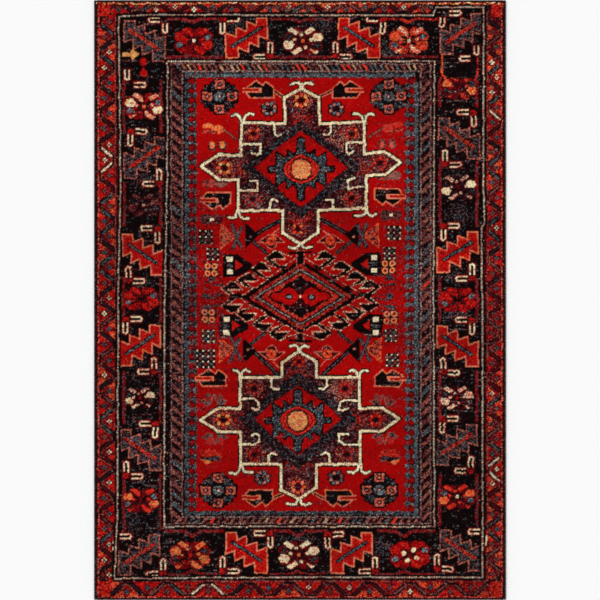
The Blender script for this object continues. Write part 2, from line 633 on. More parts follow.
# ------------------------------------------------------------------ medallions
TOP_OUTLINE = [
    (6, 822), (74, 785), (76, 684), (248, 692), (250, 567), (328, 577), (392, 533), (330, 487), (258, 482),
    (257, 356), (71, 349), (70, 262), (2, 217), (-66, 260), (-67, 348), (-240, 348), (-240, 467),
    (-316, 468), (-386, 520), (-312, 564), (-228, 562), (-226, 689), (-58, 685), (-61, 786),
]
BOTTOM_OUTLINE = [
    (-3, -200), (64, -240), (64, -301), (230, -301), (232, -421), (320, -419), (385, -460), (320, -509),
    (233, -510), (234, -638), (64, -638), (64, -728), (-5, -772), (-74, -737), (-74, -638), (-230, -638),
    (-231, -513), (-314, -512), (-388, -465), (-315, -419), (-232, -422), (-232, -300), (-70, -300),
    (-70, -244),
]
TOP_HORNS = [
    [(4, 822), (3, 838), (-8, 844), (-20, 843), (-34, 838)],
    [(12, 822), (13, 838), (24, 843), (38, 843), (50, 837)],
    [(-228, 692), (-236, 712), (-250, 722), (-264, 716)],
    [(-222, 692), (-214, 714), (-196, 726), (-182, 720)], [(246, 694), (240, 714), (222, 724), (207, 722)],
    [(252, 694), (256, 714), (270, 725), (286, 720)], [(-242, 346), (-250, 322), (-264, 318), (-280, 322)],
    [(-238, 346), (-230, 324), (-218, 316), (-202, 318)], [(256, 356), (250, 334), (234, 324), (212, 327)],
    [(258, 356), (262, 334), (278, 326), (294, 334)], [(-1, 216), (-12, 203), (-28, 201), (-42, 206)],
    [(4, 216), (14, 203), (28, 202), (46, 205)],
]
BOTTOM_HORNS = [
    [(-6, -198), (-8, -184), (-18, -176), (-38, -181)], [(0, -198), (6, -184), (18, -175), (33, -182)],
    [(-234, -300), (-236, -282), (-246, -272), (-258, -273)],
    [(-228, -300), (-226, -282), (-212, -270), (-196, -277)],
    [(228, -301), (222, -284), (206, -271), (194, -278)],
    [(232, -301), (236, -282), (248, -273), (264, -277)],
    [(-233, -640), (-238, -664), (-250, -674), (-272, -670)],
    [(-227, -640), (-220, -664), (-206, -672), (-184, -669)],
    [(231, -640), (222, -662), (206, -672), (186, -667)],
    [(236, -640), (240, -664), (254, -673), (274, -667)],
    [(-10, -772), (-16, -792), (-32, -796), (-50, -789)], [(0, -772), (6, -792), (20, -796), (40, -789)],
]
TOP_HOOKS = [
    [(-98, 684), (-98, 646), (-88, 636), (-74, 644)],
    [(-226, 606), (-152, 605), (-153, 570), (-168, 565), (-186, 570)],
    [(-240, 425), (-165, 426), (-165, 462), (-194, 461)],
    [(-118, 348), (-116, 384), (-106, 392), (-90, 384)], [(119, 686), (120, 652), (108, 642), (90, 645)],
    [(248, 612), (180, 611), (180, 575), (190, 567), (206, 576)],
    [(256, 440), (188, 434), (184, 466), (212, 474)], [(127, 350), (128, 388), (102, 390)],
]
BOTTOM_HOOKS = [
    [(-112, -302), (-112, -336), (-100, -345), (-82, -345)],
    [(-230, -385), (-176, -383), (-160, -398), (-158, -420), (-172, -428), (-186, -420)],
    [(-230, -560), (-172, -562), (-158, -548), (-158, -526), (-168, -519), (-188, -525)],
    [(-122, -638), (-120, -602), (-108, -593), (-90, -601)],
    [(104, -302), (105, -335), (92, -348), (76, -344)],
    [(230, -391), (172, -390), (156, -400), (151, -426), (164, -430), (186, -421)],
    [(232, -560), (172, -562), (152, -546), (151, -522), (188, -521)],
    [(115, -638), (114, -602), (100, -592), (82, -600)],
]
# one quarter of the slate star in a medallion, as offsets from its middle
STAR_QUARTER = [
    (0, 122), (12, 114), (13, 76), (24, 60), (34, 56), (52, 72), (52, 48), (62, 42), (78, 52), (95, 64),
    (94, 14), (100, 9), (124, 9), (127, 0),
]


def mirrored(quarter):
    """A closed outline from its upper right quarter."""
    lower = [(x, -y) for x, y in reversed(quarter[:-1])]
    right = quarter + lower
    return right + [(-x, y) for x, y in reversed(right[1:-1])]


def small_rosette(chart, center, radius, petal, accent):
    """A little flower of dotted petals, in two yarns by turns."""
    chart.fleck(center, 1.7 * radius, 1.5 * radius, Mix(scarlet=30, brown=30, salmon=14, maroon=26), 0.5)
    chart.disc(center, 0.9 * radius, 0.8 * radius, Mix(maroon=45, plum=35, black=20))
    for n in range(8):
        turn = math.radians(45 * n)
        spot = (center[0] + 0.68 * radius * math.cos(turn), center[1] + 0.62 * radius * math.sin(turn))
        chart.disc(spot, radius * 0.22, radius * 0.22, petal if n % 2 == 0 else accent)
    chart.disc(center, radius * 0.2, radius * 0.2, "black")


def medallion(chart, outline, horns, hooks, center, half_x, low, high):
    """Stepped cream outline with ram horns, latch hooks and a red lozenge round a slate star."""
    cx, cy = center
    chart.patch(outline, PLUM_GROUND, (21, "black"))
    chart.fleck((cx + 140, cy + 95), 90, 75, Mix(salmon=30, mauve=34, maroon=18, stone=18), 0.42)
    for place in ((cx, low - 42), (cx, high + 42), (cx - half_x - 60, cy), (cx + half_x + 60, cy)):
        chart.fleck(place, 56, 44, Mix(red=40, coral=24, maroon=26, mauve=10), 0.44)
    # a dark shade behind the lozenge
    diamond = [(cx, cy + 190), (cx + 235, cy + 6), (cx, cy - 190), (cx - 235, cy + 6)]
    chart.fill(diamond, Mix(black=40, night=32, slate=12, plum=16))
    right = [(0.28, high - 34), (0.62, cy + 66), (1, cy + 6), (0.62, cy - 52), (0.28, low + 34)]
    lozenge = [(cx, high)] + [(cx + half_x * share, y) for share, y in right]
    lozenge += [(cx, low)] + [(cx - half_x * share, y) for share, y in reversed(right)]
    chart.patch(lozenge, Mix(red=76, maroon=14, scarlet=10), rim=(4, Mix(maroon=60, red=40)))
    star = placed(mirrored(STAR_QUARTER), center)
    chart.patch(star, Mix(night=34, slate=36, sky=5, black=25), (12, "black"))
    hexagon = mirrored([(0, 57), (34, 43), (60, 22), (69, 0)])
    chart.patch(placed(hexagon, center), Mix(scarlet=40, coral=34, red=26), (7, "black"))
    chart.line(placed(hexagon, center, scale=0.84), 5, Mix(maroon=60, red=40), closed=True)
    heart = Mix(gold=32, orange=34, brown=20, coral=14)
    chart.fill(placed(mirrored([(0, 44), (26, 38), (43, 16), (43, 0)]), center), "plum")
    chart.fill(placed(mirrored([(0, 38), (22, 33), (37, 14), (37, 0)]), center), heart)
    # a faint line that runs inside the outline
    inner = [(cx + (x - cx) * 0.955, cy + (y - cy) * 0.955) for x, y in outline]
    chart.line(inner, 4, Mix(plum=60, maroon=40), closed=True)
    for paths, width in ((horns, 17), (hooks, 18)):
        for path in paths:
            chart.line(path, width, "black")
    chart.line(outline, 10, CREAM_LINE, closed=True)
    for paths, width, yarn in (
        (horns, 8.5, Mix(cream=84, stone=16)), (hooks, 7.8, Mix(cream=68, salmon=14, stone=18)),
    ):
        for path in paths:
            chart.line(path, width, yarn)


def medallions(chart):
    """Both medallions, and the small flowers in and round them."""
    medallion(chart, TOP_OUTLINE, TOP_HORNS, TOP_HOOKS, (4, 508), 178, 362, 655)
    medallion(chart, BOTTOM_OUTLINE, BOTTOM_HORNS, BOTTOM_HOOKS, (-8, -468), 168, -600, -333)
    spot = Mix(coral=34, orange=14, scarlet=30, gold=6, maroon=16)
    muted = Mix(red=32, coral=14, mauve=30, maroon=24)
    bright, warm = Mix(orange=50, gold=50), Mix(scarlet=60, coral=40)
    for center, radius, petal, accent in (
        ((5, 775), 34, spot, bright), ((-295, 513), 32, spot, bright),
        ((312, 532), 30, warm, muted), ((-180, 645), 26, muted, spot),
        ((200, 648), 30, muted, spot), ((-185, 392), 28, Mix(scarlet=50, mauve=50), Mix(slate=50, mauve=50)),
        ((200, 395), 30, warm, muted), ((-8, 275), 26, muted, spot),
        ((-4, -240), 24, warm, Mix(red=100)), ((-298, -465), 34, spot, bright),
        ((295, -465), 30, Mix(scarlet=60, red=40), Mix(coral=50, scarlet=50)),
        ((-178, -345), 30, muted, muted), ((175, -345), 32, muted, Mix(scarlet=50, mauve=50)),
        ((-175, -600), 30, Mix(maroon=60, scarlet=40), muted),
        ((182, -600), 30, Mix(mauve=60, maroon=40), muted), ((-8, -725), 34, spot, Mix(salmon=60, coral=40)),
    ):
        small_rosette(chart, center, radius, petal, accent)


# ------------------------------------------------------------------ lozenge between the medallions
def diamond_outline(center, half_x, half_y):
    """Corners of a lozenge, given its half width and half height."""
    x, y = center
    return [(x - half_x, y), (x, y + half_y), (x + half_x, y), (x, y - half_y)]


# a running hook: its black shape, the red hook that it holds, and the edge of its black shape
HOOK_BODY = [(-63, 2), (-25, 29), (-8, 27), (58, 2), (30, -16), (10, -46), (-14, -42), (-30, -28)]
HOOK_TURN = [
    (-8, 27), (12, 17), (58, 2), (30, -16), (14, -27), (-4, -28), (-18, -16), (-34, -5), (20, -4), (8, 10),
]
HOOK_EDGE = [(-8, 27), (-25, 29), (-63, 2), (-30, -25)]


def running_hook(chart, center, flip_x, flip_y):
    """Black hook with a red one turned into it, both edged with pink dots."""
    dots = Mix(salmon=26, brown=26, cream=16, maroon=32)
    chart.patch(placed(HOOK_BODY, center, flip_x, flip_y), "black", (5, "black"))
    chart.patch(placed(HOOK_TURN, center, flip_x, flip_y), Mix(red=86, scarlet=14), rim=(3.5, dots))
    chart.line(placed(HOOK_EDGE, center, flip_x, flip_y), 3.5, dots)
    bar = placed([(-36, -3), (12, -2)], center, flip_x, flip_y)
    chart.line(bar, 3.5, Mix(salmon=44, cream=20, brown=36))


def palmette(chart, center, flip_y):
    """Dark flower above or below the two eyes."""
    x, y = center
    for dx, dy, radius in ((0, 72, 12), (-14, 58, 13), (14, 58, 13), (-34, 50, 13), (34, 50, 13), (0, 42, 13),
                           (-52, 44, 9), (52, 44, 9)):
        chart.disc((x + dx, y + flip_y * dy), radius, radius * 0.9, Mix(black=84, night=16))
    for dx, dy in ((0, 34), (-24, 50), (24, 50)):
        chart.disc((x + dx, y + flip_y * dy), 4, 4, Mix(mauve=50, slate=30, salmon=20))


# right half of the red shape round the right one of the lozenge's two eyes
EYE_SHAPE = [
    (3, 0), (20, 26), (42, 37), (60, 31), (74, 17), (104, 13), (116, 0), (104, -13), (74, -17), (60, -29),
    (42, -35), (20, -24),
]


def center_lozenge(chart):
    """Nested lozenge with two eyes, and a run of hooks along each of its sides."""
    center = (1, 12)
    x, y = center
    chart.fill(diamond_outline(center, 226, 146), "black")
    for side in (-1, 1):
        neck = [(x, y + side * 120), (x, y + side * 166)]
        chart.line(neck, 32, Mix(salmon=30, maroon=40, brown=30))
        chart.line(neck, 24, "black")
        chart.line([(x - 40, y + side * 171), (x + 40, y + side * 171)], 9, "black")
    for half_x, half_y, width, yarn in (
        (192, 122, 12, Mix(maroon=40, brown=14, scarlet=24, red=22)),
        (171, 106, 5, Mix(stone=34, slate=40, mauve=26)), (157, 97, 6, "black"),
        (139, 86, 17, Mix(red=22, scarlet=22, coral=22, maroon=24, brown=10)),
    ):
        chart.line(diamond_outline(center, half_x, half_y), width, yarn, closed=True)
    chart.fill(diamond_outline(center, 126, 78), Mix(maroon=30, black=40, plum=30))
    for flip_y in (-1, 1):
        palmette(chart, center, flip_y)
    for flip_x in (-1, 1):
        chart.patch(placed(EYE_SHAPE, (x, y + 1), flip_x), Mix(red=84, scarlet=16), (11, "black"))
        eye = (x + 43 * flip_x, y + 1)
        chart.disc(eye, 15, 12, "black")
        chart.disc(eye, 9, 5.5, Mix(sky=76, slate=24))
    chart.disc((x, y + 2), 4, 6, Mix(cream=60, salmon=40))
    for flip_x, flip_y, centers in (
        (1, 1, ((-74, 161), (-130, 118), (-181, 77), (-243, 43))),
        (-1, 1, ((76, 161), (140, 122), (196, 82), (252, 48))),
        (1, -1, ((-62, -128), (-124, -93), (-186, -54), (-243, -22))),
        (-1, -1, ((62, -126), (132, -90), (188, -50), (246, -18))),
    ):
        for place in centers:
            running_hook(chart, place, flip_x, flip_y)


# ------------------------------------------------------------------ field motifs
FLOWER_QUARTER = [(0, 68), (21, 66), (23, 56), (36, 54), (38, 44), (56, 42), (58, 25), (70, 23), (71, 0)]


def corner_flower(chart, center, lobes):
    """Dark flower with four salmon squares round a slate heart."""
    cx, cy = center
    chart.patch(placed(mirrored(FLOWER_QUARTER), center), Mix(black=80, night=20), (7, "black"))
    for dx, dy in ((-41, 28), (41, 28), (-41, -28), (41, -28)):
        chart.disc((cx + dx, cy + dy), 19, 15, lobes)
        chart.disc((cx + dx * 0.62, cy + dy * 1.35), 11, 10, lobes)
        chart.line([(cx + dx * 0.7, cy + dy * 0.7), (cx + dx * 1.35, cy + dy * 1.35)], 4, "black")
    for dx, dy in ((0, 48), (0, -48), (-48, 0), (48, 0)):
        spot = (cx + dx, cy + dy)
        chart.box(spot, 44, 40, "black")
        chart.box(spot, 36, 32, Mix(salmon=30, coral=20, mauve=36, orange=6, plum=8))
        chart.disc(spot, 11, 10, Mix(maroon=50, black=50))
        chart.disc(spot, 5, 4.5, Mix(salmon=50, slate=50))
    chart.disc(center, 26, 23, "black")
    chart.disc(center, 22, 19, Mix(slate=56, night=22, sky=22))
    chart.disc(center, 9, 8, "plum")
    chart.disc(center, 4.5, 4.5, Mix(cream=60, salmon=40))


HAND = [(-52, 12), (-16, 36), (10, 18), (22, 34), (52, 10), (54, -30), (-40, -30), (-52, -14)]


def hand(chart, center, flip_x, flip_y, link=None):
    """Comb-like hand: black inside a thin pink outline, with a red finger."""
    if link:
        chart.outlined(link, 6, "black", EDGE_LINE, 4)
    chart.patch(placed(HAND, center, flip_x, flip_y), Mix(black=82, night=18),
                rim=(5, Mix(salmon=46, coral=30, orange=24)))
    chart.line(placed([(-58, 0), (-4, 0)], center, flip_x, flip_y), 19, Mix(salmon=54, orange=34, coral=12))
    chart.line(placed([(-62, 0), (-10, 0)], center, flip_x, flip_y), 9, "red")


def pinwheel(chart, center):
    """Eight small blobs round a middle."""
    chart.disc(center, 36, 32, Mix(black=66, plum=34))
    for n in range(8):
        turn = math.radians(45 * n + 20)
        spot = (center[0] + 22 * math.cos(turn), center[1] + 20 * math.sin(turn))
        chart.disc(spot, 6.5, 6.5, (Mix(salmon=50, mauve=50), Mix(slate=70, sky=30))[n % 2])
        edge = (center[0] + 35 * math.cos(turn + 0.39), center[1] + 31 * math.sin(turn + 0.39))
        chart.disc(edge, 5, 5, "red")


def winged_ball(chart, center, flip_y, link):
    """Small winged ball on a thin orange stalk."""
    cx, cy = center
    pink = Mix(salmon=40, coral=40, brown=20)
    wings = [(-52, -2), (-14, 26), (14, 26), (52, -2), (22, -4), (16, -20), (0, -30), (-16, -20), (-22, -4)]
    chart.line(link, 4.5, pink)
    chart.patch(placed(wings, center, 1, flip_y), Mix(black=50, plum=30, maroon=20), rim=(3.6, pink))
    chart.disc((cx, cy + 4 * flip_y), 19, 19, Mix(coral=44, scarlet=40, orange=16))
    chart.disc((cx, cy + 4 * flip_y), 6, 6, Mix(scarlet=60, maroon=40))


def house_arrow(chart, center, flip_x):
    """Black arrow with two cream squares and a red point."""
    shape = placed([(-34, 42), (18, 42), (74, 4), (74, -10), (18, -42), (-34, -42)], center, flip_x, 1)
    chart.patch(shape, Mix(black=92, night=8), (6, "black"))
    x, y = center[0] - 10 * flip_x, center[1]
    for dy in (25, -25):
        chart.box((x, y + dy), 23, 18, Mix(cream=92, stone=8))
    chart.box((x, y), 22, 16, Mix(night=50, slate=50))
    chart.fill(placed([(12, 22), (12, -20), (42, 0)], center, flip_x, 1), Mix(scarlet=70, red=30))


def checker(chart, center, dots, pitch):
    """Black square with a grid of cream dots and dull blocks."""
    half = pitch * (dots - 1) / 2
    chart.box(center, 2 * half + 12, 2 * half + 12, Mix(black=72, plum=18, night=10))
    for row in range(dots - 1):
        for col in range(dots - 1):
            spot = (center[0] - half + (col + 0.5) * pitch, center[1] - half + (row + 0.5) * pitch)
            block = Mix(slate=50, night=50) if (row + col) % 2 == 0 else Mix(mauve=40, maroon=60)
            chart.disc(spot, pitch * 0.3, pitch * 0.3, block)
    for row in range(dots):
        for col in range(dots):
            spot = (center[0] - half + col * pitch, center[1] - half + row * pitch)
            chart.disc(spot, 3.4, 3.4, Mix(cream=62, salmon=22, mauve=16))


def ring_flower(chart, center):
    """Four small rings in a square, red and pink on a dark ground."""
    chart.box(center, 56, 56, Mix(black=56, plum=30, night=14))
    for dx in (-1, 1):
        for dy in (-1, 1):
            spot = (center[0] + dx * 14, center[1] + dy * 14)
            chart.disc(spot, 12, 12, Mix(orange=40, gold=20, salmon=26, coral=14))
            chart.disc(spot, 6, 6, Mix(red=60, black=40))


def funnel(chart, center, flip_x, flip_y, arm_end):
    """Black triangle whose point has a dotted arm to the medallion's step, and a dark tail below."""
    shape = placed([(-26, 52), (-26, -50), (28, 2)], center, flip_x, flip_y)
    start = placed([(20, 8)], center, flip_x, flip_y)[0]
    tail = placed([(0, -20), (58, -68)], center, flip_x, flip_y)
    for points, width in (([start, arm_end], 16), (tail, 11)):
        chart.line(points, width + 4, Mix(maroon=60, mauve=40))
        chart.line(points, width, "black")
        chart.line(points, 4, Mix(slate=50, night=30, mauve=20))
    chart.fill(shape, "black")
    chart.disc(placed([(-6, -4)], center, flip_x, flip_y)[0], 5, 5, Mix(salmon=40, mauve=60))


def vase(chart, center, flip_x, flip_y):
    """Mottled orange fan, with a dark cross between it and the funnel."""
    chart.patch(placed([(24, 50), (24, -46), (-34, 0)], center, flip_x, flip_y),
                Mix(brown=30, coral=26, maroon=24, plum=20), rim=(5, Mix(coral=44, orange=24, red=32)))
    for arm in ([(-20, 44), (-54, -40)], [(-56, 36), (-24, -42)]):
        chart.line(placed(arm, center, flip_x, flip_y), 14, Mix(black=42, slate=30, plum=28))
        chart.line(placed(arm, center, flip_x, flip_y), 4, Mix(slate=60, mauve=40))


def worn_birds(chart, flip_x):
    """Rows of dark, nearly worn-out birds at the middle of one side of the field."""
    rng = chart.rng
    for y in (96, 78, 56, 20, 6, -20, -44, -58):
        start = 345 + rng.uniform(-30, 12)
        reach = rng.uniform(34, 62)
        ends = [(flip_x * (start - reach / 2), y), (flip_x * (start + reach / 2), y + rng.uniform(-8, 8))]
        chart.line(ends, rng.uniform(7, 12), Mix(black=36, slate=18, night=12, maroon=20, red=14))
    for y in (88, 14, -30):
        chart.disc((flip_x * (352 + rng.uniform(-14, 14)), y), 15, 11, Mix(black=44, slate=26, plum=30))


def bird(chart, center, flip_x, warm):
    """Small bird of two blobs and a thin tail line to the medallion."""
    cx, cy = center
    body = Mix(orange=40, coral=40, gold=20) if warm else Mix(scarlet=50, coral=34, mauve=16)
    chart.disc((cx - 36 * flip_x, cy + 14), 22, 10, body)
    chart.disc((cx + 2 * flip_x, cy), 24, 17, body)
    wing, tail = placed([(-54, -8), (-6, -10)], center, flip_x), placed([(24, 0), (74, -36)], center, flip_x)
    chart.line(wing, 12, Mix(maroon=40, mauve=30, coral=30))
    chart.line(tail, 9, "black")
    chart.line(tail, 4, Mix(brown=60, mauve=40))


def crown(chart, center, flip_y, body):
    """Two dark wings over a small body."""
    cx, cy = center
    dull = Mix(mauve=30, plum=26, black=28, slate=16)
    for side in (-1, 1):
        wing = placed([(0, -14), (20, 22), (24, 4), (50, 12), (30, 30), (14, 30)], center, side, flip_y)
        chart.patch(wing, dull, rim=(3.4, Mix(brown=40, mauve=60)))
    chart.disc((cx - 22, cy), 14, 17, body)
    chart.disc((cx + 22, cy), 13, 16, body)


def bud_pair(chart, left, right, outer, inner):
    """Two buds side by side, each a dark oval round a warm one."""
    for cx in (left, right):
        for cy, radius_x, radius_y, yarn in (outer, inner):
            chart.disc((cx, cy), radius_x, radius_y, yarn)


def eyed_blob(chart, cx, cy):
    """Two dark ovals with a cream block where they meet."""
    chart.disc((cx - 18, cy), 26, 22, Mix(plum=40, mauve=30, black=30))
    chart.disc((cx + 22, cy), 22, 20, Mix(plum=46, maroon=34, mauve=20))
    chart.box((cx, cy), 15, 11, "cream")


def dark_bird(chart, flip_x, cx):
    """Red oval under a dark bird with an orange wing."""
    chart.disc((cx, -605), 42, 28, Mix(scarlet=44, coral=24, maroon=32))
    body = placed([(-44, -12), (-10, -38), (20, -22), (40, -34), (30, -6)], (cx, -600), flip_x)
    wing = placed([(-40, -18), (-18, -36), (2, -26), (-10, -18)], (cx, -604), flip_x)
    chart.fill(body, LEAF_DARK)
    chart.fill(wing, Mix(orange=70, coral=30))


def dull_bird(chart, cx, cy):
    """Two dull ovals, one behind the other."""
    chart.disc((cx - 20, cy), 34, 15, Mix(coral=30, mauve=40, maroon=30))
    chart.disc((cx + 24, cy + 4), 24, 18, Mix(brown=40, mauve=34, slate=26))


BLACK_LOBES, SLATE_LOBES = Mix(black=54, night=24, slate=22), Mix(slate=46, night=32, black=16, sky=6)

# each motif of the field with the places that it is woven at, in the order of weaving
FIELD_MOTIFS = (
    (corner_flower, ((-312, 790), BLACK_LOBES), ((345, 790), SLATE_LOBES), ((-318, -740), SLATE_LOBES),
     ((309, -738), BLACK_LOBES)),
    (hand, ((-154, 815), 1, 1, [(-98, 812), (-66, 788)]), ((180, 815), -1, 1, [(122, 812), (78, 788)]),
     ((-158, -768), 1, -1, [(-100, -768), (-66, -752)]), ((152, -768), -1, -1, [(92, -770), (56, -752)]),
     ((-322, 388), 1, -1), ((342, 402), -1, -1), ((-340, -304), 1, 1), ((344, -306), -1, 1)),
    (pinwheel, ((-120, 742),), ((142, 742),), ((-146, -692),), ((140, -690),)),
    (winged_ball, ((-110, 226), 1, [(-112, 250), (-82, 278)]), ((118, 226), 1, [(118, 250), (90, 268)]),
     ((-110, -205), -1, [(-112, -228), (-84, -260)]), ((106, -204), -1, [(108, -228), (80, -256)])),
    (house_arrow, ((-262, 134), 1), ((276, 140), -1), ((-276, -100), 1), ((284, -100), -1)),
    (worn_birds, (-1,), (1,)),
    (funnel, ((-187, 250), 1, 1, (-76, 308)), ((202, 250), -1, 1, (84, 312)),
     ((-196, -196), 1, -1, (-86, -290)), ((206, -192), -1, -1, (92, -288))),
    (vase, ((-284, 245), -1, 1), ((280, 250), 1, 1), ((-290, -192), -1, -1), ((290, -192), 1, -1)),
    (checker, ((-366, 244), 3, 24), ((366, 260), 3, 22), ((-366, -228), 4, 21), ((358, -235), 3, 21),
     ((-338, 178), 3, 20), ((346, 182), 3, 20), ((-356, -140), 3, 20), ((354, -140), 3, 20)),
    (ring_flower, ((-346, 118),), ((344, 128),), ((-356, -62),), ((350, -68),)),
    (bird, ((-322, 662), 1, True), ((344, 668), -1, False)),
    (bud_pair, (-342, -302, (598, 17, 20, Mix(mauve=34, black=30, plum=36)),
                (602, 10, 15, Mix(orange=56, gold=24, coral=20))),
     (318, 356, (606, 16, 19, Mix(mauve=40, plum=36, slate=24)), (604, 8, 13, Mix(coral=60, brown=40)))),
    (eyed_blob, (-344, 314), (353, 330)),
    (crown, ((-335, -378), -1, Mix(mauve=40, plum=30, scarlet=30)),
     ((322, -380), -1, Mix(mauve=36, night=24, scarlet=40)), ((-330, -548), 1, Mix(scarlet=60, mauve=40)),
     ((330, -545), 1, Mix(scarlet=50, mauve=30, maroon=20))),
    (dark_bird, (1, -345), (-1, 350)),
    (dull_bird, (-330, 452), (345, 478)),
)


def field(chart):
    """Everything on the red field outside the medallions."""
    chart.fill(ring(400, 395, 303, 346), RED_GROUND)
    chart.fill([(-392, 300), (-250, 300), (-210, 190), (-250, -180), (-392, -150)],
               Mix(red=80, scarlet=8, maroon=12))
    for motif, *places in FIELD_MOTIFS:
        for place in places:
            motif(chart, *place)


# ------------------------------------------------------------------ wear
def knots_of(chart, *names):
    """Mask of the knots in the named yarns."""
    return np.isin(chart.knots, [YARN[name] for name in names])


def rub(chart, knots, yarns, share=None):
    """Change knots, or a share of them, to yarns that are drawn knot by knot."""
    pick = yarns.index[np.searchsorted(yarns.steps, chart.rng.uniform(0, 1, chart.shape))]
    if share is not None:
        knots = knots & (chart.rng.uniform(0, 1, chart.shape) < share)
    chart.knots[knots] = pick[knots]


def wear(chart):
    """Worn streaks along the weft, and stray knots of other yarns, as on a distressed rug."""
    rng = chart.rng
    shape = chart.shape
    x = np.abs(np.linspace(-1, 1, shape[1]))[None, :]
    y = np.abs(np.linspace(-1, 1, shape[0]))[:, None]
    streak = smooth_noise(rng, shape, 1.3, 9) + 0.7 * smooth_noise(rng, shape, 2.2, 22)
    patch = smooth_noise(rng, shape, 60, 34) + 0.6 * smooth_noise(rng, shape, 24, 14)
    middle_sides = np.exp(-((x - 0.50) / 0.15) ** 2) * np.exp(-(y / 0.40) ** 2)
    amount = 0.55 + 0.5 * patch + 1.9 * middle_sides
    worn = (streak > 1.05 - 0.42 * amount) & (rng.uniform(0, 1, shape) < 0.55)
    dark = knots_of(chart, "black", "night", "plum")
    red = knots_of(chart, "red", "scarlet", "maroon", "coral")
    pale = knots_of(chart, "cream", "gold", "stone", "salmon", "orange")
    rub(chart, worn & dark, Mix(night=26, mauve=26, plum=22, slate=18, stone=8))
    rub(chart, worn & red, Mix(maroon=44, scarlet=14, mauve=14, plum=18, slate=6, black=4),
        0.25 + 0.75 * (np.clip(amount, 0, 1.6) / 1.6))
    rub(chart, knots_of(chart, "slate", "sky"), Mix(plum=34, mauve=24, night=24, brown=18), 0.22)
    rub(chart, pale, Mix(brown=30, stone=40, salmon=20, mauve=10), 0.10)


# unevenness of the dye over long and short bands of the weft, of its brightness from knot to knot,
# and of the knots' own colour
LONG_BANDS, SHORT_BANDS, KNOT_CHANGE, KNOT_CAST = 0.10, 0.06, 0.07, 0.008


def knot_colours(chart):
    """Colour of each knot: its yarn's shade with a little unevenness of dye and of light."""
    rng = chart.rng
    shades = np.array(list(SHADES.values()))
    rgb = shades[chart.knots]
    dye = 1 + LONG_BANDS * smooth_noise(rng, chart.shape, 40, 60)
    dye = dye + SHORT_BANDS * smooth_noise(rng, chart.shape, 7, 90)
    knot = 1 + rng.normal(0, KNOT_CHANGE, chart.shape)
    rgb = rgb * (dye * knot)[..., None] + rng.normal(0, KNOT_CAST, chart.shape)[..., None]
    return np.clip(rgb, 0.004, 1)


def weave_chart():
    chart = Chart(seed=7)
    outer_minor_border(chart)
    main_border(chart)
    guard_lines(chart)
    inner_minor_border(chart)
    reciprocal_border(chart)
    field(chart)
    center_lozenge(chart)
    medallions(chart)
    wear(chart)
    return chart


# ------------------------------------------------------------------ materials
def linear(colour):
    """Display (sRGB) values as linear light."""
    colour = np.asarray(colour, float)
    return np.where(colour <= 0.04045, colour / 12.92, ((colour + 0.055) / 1.055) ** 2.4)


class Nodes:
    """A material's node tree, with short names for the few things that the yarns need."""

    def __init__(self, name):
        self.material = bpy.data.materials.new(name)
        self.material.use_nodes = True
        self.tree = self.material.node_tree
        self.shader = self.tree.nodes["Principled BSDF"]

    def add(self, kind, **settings):
        node = self.tree.nodes.new(kind)
        for key, value in settings.items():
            setattr(node, key, value)
        return node

    def join(self, source, target):
        self.tree.links.new(source, target)

    def place(self, scale, turn=0.0):
        """The place on the piece, in metres times a scale for each axis."""
        place = self.add("ShaderNodeMapping")
        place.inputs["Scale"].default_value = scale
        place.inputs["Rotation"].default_value = (0, 0, turn)
        self.join(self.add("ShaderNodeTexCoord").outputs["Object"], place.inputs["Vector"])
        return place.outputs["Vector"]

    def noise(self, vector, scale, detail=2.0, roughness=0.5):
        noise = self.add("ShaderNodeTexNoise")
        noise.inputs["Scale"].default_value = scale
        noise.inputs["Detail"].default_value = detail
        noise.inputs["Roughness"].default_value = roughness
        self.join(vector, noise.inputs["Vector"])
        return noise.outputs["Fac"]

    def math(self, operation, first, second=0.0, third=0.0):
        node = self.add("ShaderNodeMath", operation=operation)
        for socket, value in zip(node.inputs, (first, second, third)):
            if isinstance(value, (int, float)):
                socket.default_value = value
            else:
                self.join(value, socket)
        return node.outputs["Value"]

    def spread(self, value, low, high, new_low, new_high):
        """A value from low to high, spread from new_low to new_high."""
        node = self.add("ShaderNodeMapRange")
        limits = {"From Min": low, "From Max": high, "To Min": new_low, "To Max": new_high}
        for socket, number in limits.items():
            node.inputs[socket].default_value = number
        self.join(value, node.inputs["Value"])
        return node.outputs["Result"]

    def yarn_colour(self):
        """The dyed colour that the faces carry."""
        return self.add("ShaderNodeAttribute", attribute_name="yarn_colour").outputs["Color"]

    def shaded(self, colour, factor):
        """A colour made lighter or darker by a factor."""
        node = self.add("ShaderNodeVectorMath", operation="SCALE")
        self.join(colour, node.inputs[0])
        self.join(factor, node.inputs["Scale"])
        self.join(node.outputs["Vector"], self.shader.inputs["Base Color"])

    def product(self, first, *others):
        """Factors multiplied together."""
        for other in others:
            first = self.math("MULTIPLY", first, other)
        return first

    def relief(self, height, distance, strength):
        bump = self.add("ShaderNodeBump")
        bump.inputs["Distance"].default_value = distance
        bump.inputs["Strength"].default_value = strength
        self.join(height, bump.inputs["Height"])
        self.join(bump.outputs["Normal"], self.shader.inputs["Normal"])

    def finish(self, roughness, sheen=0.0, sheen_roughness=0.5, specular=0.3):
        self.shader.inputs["Roughness"].default_value = roughness
        self.shader.inputs["Sheen Weight"].default_value = sheen
        self.shader.inputs["Sheen Roughness"].default_value = sheen_roughness
        self.shader.inputs["Specular IOR Level"].default_value = specular
        return self.material


